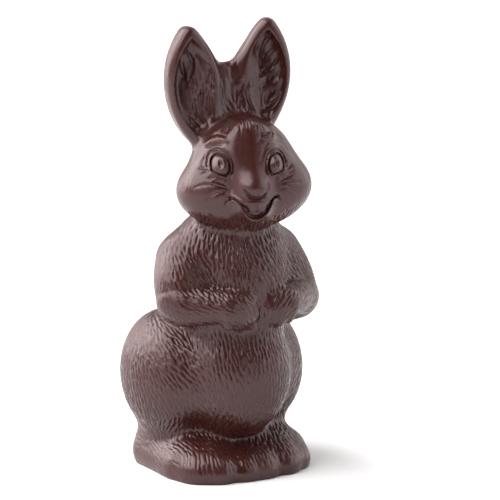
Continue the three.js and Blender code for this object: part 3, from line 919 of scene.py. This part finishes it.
def mesh_object(name, points, triangles):
    mesh = bpy.data.meshes.new(name)
    mesh.vertices.add(len(points))
    mesh.vertices.foreach_set("co", np.float32(points * MM).ravel())
    mesh.loops.add(triangles.size)
    mesh.loops.foreach_set("vertex_index", triangles.ravel())
    mesh.polygons.add(len(triangles))
    mesh.polygons.foreach_set("loop_start", np.arange(0, triangles.size, 3))
    mesh.update(calc_edges=True)
    mesh.polygons.foreach_set("use_smooth", np.ones(len(triangles), bool))
    thing = bpy.data.objects.new(name, mesh)
    bpy.context.scene.collection.objects.link(thing)
    return thing


def thin_out(thing, most):
    """Brings a mesh down to a number of triangles, fewest where it is flattest."""
    thinner = thing.modifiers.new("thinner", "DECIMATE")
    thinner.ratio = most / len(thing.data.polygons)
    evaluated = thing.evaluated_get(bpy.context.evaluated_depsgraph_get())
    thinned = bpy.data.meshes.new_from_object(evaluated)
    thing.modifiers.clear()
    old = thing.data
    thing.data = thinned
    bpy.data.meshes.remove(old)
    thinned.name = thing.name


# Nodes, of materials and of the world.


def new_node(tree, kind, output, inputs, **settings):
    """The output of a new node, whose inputs are plain values or the outputs of other nodes."""
    node = tree.nodes.new(kind)
    for name, value in settings.items():
        setattr(node, name, value)
    for name, value in inputs.items():
        if isinstance(value, bpy.types.NodeSocket):
            tree.links.new(value, node.inputs[name])
        else:
            node.inputs[name].default_value = value
    return node.outputs[output]


def calculated(tree, operation, first, second):
    return new_node(tree, "ShaderNodeMath", "Value", {0: first, 1: second}, operation=operation)


def ramp(tree, value, start, end, low, high, **settings):
    """Turns values from start to end into ones from low to high."""
    ends = {"From Min": start, "From Max": end, "To Min": low, "To Max": high}
    return new_node(tree, "ShaderNodeMapRange", "Result", {"Value": value, **ends}, **settings)


# The chocolate's look: its colours, and sizes of its unevenness in millimetres.
CHOCOLATE = (0.034, 0.0082, 0.0062, 1)
BLOOMED = (0.052, 0.0165, 0.0135, 1)
BLOOM_SIZE = 16
SPECK = (0.30, 0.10, 0.045, 1)
SPECK_APART = 9
SPECK_RADIUS = 0.3
SPECK_SHARE = 0.16
GLOSSY = 0.24
DULL = 0.33
DULL_SIZE = 7
WAVE_SIZE, WAVE_HEIGHT, WAVE_STRENGTH = 3.2, 0.12, 0.35
GRAIN_SIZE, GRAIN_HEIGHT, GRAIN_STRENGTH = 0.5, 0.02, 0.25
HIGHLIGHT_TINT = (1, 0.9, 0.925, 1)


def chocolate_material():
    """Satin dark chocolate: patches of faint bloom, uneven gloss, a fine grain and a few specks."""
    material = bpy.data.materials.new("chocolate")
    material.use_nodes = True
    tree = material.node_tree
    shader = tree.nodes["Principled BSDF"]
    shader.inputs["Specular IOR Level"].default_value = 0.5
    shader.inputs["Specular Tint"].default_value = HIGHLIGHT_TINT
    place = tree.nodes.new("ShaderNodeTexCoord").outputs["Object"]

    def noise(size, detail):
        inputs = {"Vector": place, "Scale": 1 / (size * MM), "Detail": detail}
        return new_node(tree, "ShaderNodeTexNoise", "Fac", inputs)

    def mixed(factor, first, second):
        inputs = {"Factor": factor, "A": first, "B": second}
        return new_node(tree, "ShaderNodeMix", "Result", inputs, data_type="RGBA")

    def bumped(height, strength, distance, **inputs):
        inputs.update(Height=height, Strength=strength, Distance=distance * MM)
        return new_node(tree, "ShaderNodeBump", "Normal", inputs)

    # Specks: small dots about the middles of a few of a Voronoi texture's cells.
    cells = tree.nodes.new("ShaderNodeTexVoronoi")
    cells.inputs["Scale"].default_value = 1 / (SPECK_APART * MM)
    tree.links.new(place, cells.inputs["Vector"])
    radius = SPECK_RADIUS / SPECK_APART
    near = ramp(tree, cells.outputs["Distance"], radius, 0.7 * radius, 0, 1)
    chance = new_node(tree, "ShaderNodeSeparateColor", "Red", {"Color": cells.outputs["Color"]})
    speck = calculated(tree, "MULTIPLY", near, calculated(tree, "LESS_THAN", chance, SPECK_SHARE))

    bloom = ramp(tree, noise(BLOOM_SIZE, 4), 0.45, 0.75, 0, 0.7)
    colour = mixed(speck, mixed(bloom, CHOCOLATE, BLOOMED), SPECK)
    tree.links.new(colour, shader.inputs["Base Color"])
    roughness = ramp(tree, noise(DULL_SIZE, 5), 0.35, 0.65, GLOSSY, DULL)
    tree.links.new(roughness, shader.inputs["Roughness"])
    waves = bumped(noise(WAVE_SIZE, 2), WAVE_STRENGTH, WAVE_HEIGHT)
    grain = bumped(noise(GRAIN_SIZE, 3), GRAIN_STRENGTH, GRAIN_HEIGHT, Normal=waves)
    tree.links.new(grain, shader.inputs["Normal"])
    return material


# The studio.

CAMERA_AT = (-0.53162, -0.93983, 0.29822)
CAMERA_AIM = (0.00828, -0.0047, 0.08833)
CAMERA_LENS = 199.346
CAMERA_SENSOR = 36
MIDDLE = Vector((0, 0, 0.09))
BOX_AWAY = 3  # from the middle of the bunny to each soft box, in metres
FLOOR_REACH = 8  # half the length of the floor's sides, in metres
FLOOR_SHADE = (0.83, 0.87, 0.875, 1)
LIGHT_COLOUR = (1, 0.93, 0.925)
WORLD_COLOUR = (1, 0.94, 0.94)
WORLD_LIGHT = 0.95
WORLD_DARK = 0.05
FRONT = (-0.491, -0.850, 0.191)  # the side that the picture is taken from
SIDEWAYS = (0.866, -0.5, 0)
DARK_MIDDLE = 0.2  # how far sideways the dark strip in front of the bunny lies
DARK_CORE = 0.18  # half widths of the strip, where it is darkest and where it ends
DARK_EDGE = 0.6
DARK_FADE = (-0.1, 0.35)  # how far forward the strip begins, and where it is full
# Soft boxes: the way to each, its width and height in metres, its radiance, and how far it leans.
BOXES = {
    "box_left": ((-0.63, 0.24, 0.78), (4.8, 3.3), 4.6, 24),
    "box_behind": ((-0.5, 0.82, 0.3), (2.4, 2.4), 3, 0),
    "box_right": ((0.87, -0.3, 0.38), (4.2, 3), 1.2, 0),
}


def aimed(thing, at, aim):
    thing.location = Vector(at)
    thing.rotation_euler = (Vector(aim) - Vector(at)).to_track_quat("-Z", "Y").to_euler()


def make_camera():
    camera = bpy.data.objects.new("camera", bpy.data.cameras.new("camera"))
    camera.data.sensor_width = CAMERA_SENSOR
    camera.data.lens = CAMERA_LENS
    bpy.context.scene.collection.objects.link(camera)
    aimed(camera, CAMERA_AT, CAMERA_AIM)
    bpy.context.scene.camera = camera


def soft_box(name, way, size, radiance, lean):
    """A flat light that faces the bunny from the way given, leaning by an angle in degrees."""
    light = bpy.data.lights.new(name, "AREA")
    light.shape = "RECTANGLE"
    light.size, light.size_y = size
    light.energy = radiance * math.pi * size[0] * size[1]
    light.color = LIGHT_COLOUR
    thing = bpy.data.objects.new(name, light)
    bpy.context.scene.collection.objects.link(thing)
    aimed(thing, MIDDLE + BOX_AWAY * Vector(way).normalized(), MIDDLE)
    thing.rotation_euler.rotate_axis("Z", math.radians(lean))


def make_floor():
    corners = np.array([(x, y, 0) for x, y in ((-1, -1), (1, -1), (1, 1), (-1, 1))]) * FLOOR_REACH
    floor = mesh_object("floor", corners / MM, np.array([(0, 1, 2), (0, 2, 3)]))
    paper = bpy.data.materials.new("floor")
    paper.use_nodes = True
    shader = paper.node_tree.nodes["Principled BSDF"]
    shader.inputs["Base Color"].default_value = FLOOR_SHADE
    shader.inputs["Roughness"].default_value = 0.9
    shader.inputs["Specular IOR Level"].default_value = 0
    floor.data.materials.append(paper)


def make_world():
    """A white room with an upright dark strip, which the front of the bunny mirrors."""
    world = bpy.data.worlds.new("studio")
    bpy.context.scene.world = world
    world.use_nodes = True
    tree = world.node_tree
    background = tree.nodes["Background"]
    background.inputs["Color"].default_value = (*WORLD_COLOUR, 1)
    way = tree.nodes.new("ShaderNodeTexCoord").outputs["Generated"]

    def toward(direction):
        inputs = {0: way, 1: direction}
        return new_node(tree, "ShaderNodeVectorMath", "Value", inputs, operation="DOT_PRODUCT")

    def eased(value, start, end, low, high):
        return ramp(tree, value, start, end, low, high, interpolation_type="SMOOTHSTEP")

    aside = calculated(tree, "SUBTRACT", toward(SIDEWAYS), DARK_MIDDLE)
    aside = calculated(tree, "MULTIPLY", aside, aside)
    strip = eased(aside, DARK_CORE**2, DARK_EDGE**2, WORLD_LIGHT - WORLD_DARK, 0)
    before = eased(toward(FRONT), *DARK_FADE, 0, 1)
    dark = calculated(tree, "MULTIPLY", strip, before)
    strength = calculated(tree, "SUBTRACT", WORLD_LIGHT, dark)
    tree.links.new(strength, background.inputs["Strength"])


def make_studio():
    for name, settings in BOXES.items():
        soft_box(name, *settings)
    make_floor()
    make_world()
    bpy.context.scene.view_settings.view_transform = "Standard"


def press_details(points):
    """The points, moved by the lines of the face, the locks in the ears and the fur."""
    normals = slopes(bunny(), points, SLOPE_STEP)
    in_head = (np.float32(points) - HEAD_AT) @ turned(*HEAD_TURN)
    on_face = smooth(-2, -6, in_head[:, 1])
    rise = line_relief(face_lines(), in_head[:, 0], in_head[:, 2]) * on_face - fur_relief(points, normals)
    for s in SIDES:
        rise += lock_relief(s, np.float32(points))
    return points + rise[:, None] * normals


def make_bunny():
    step = GRID_STEP
    points, triangles = surface_of(bunny(), *GRID_BOX, step)
    points = press_details(points)
    piece = mesh_object("bunny_chocolate", points, triangles)
    if len(triangles) > MOST_TRIANGLES:
        thin_out(piece, MOST_TRIANGLES)
    piece.data.materials.append(chocolate_material())
    return piece


piece = make_bunny()
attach(piece, "root")
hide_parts("bunny")
make_camera()
make_studio()
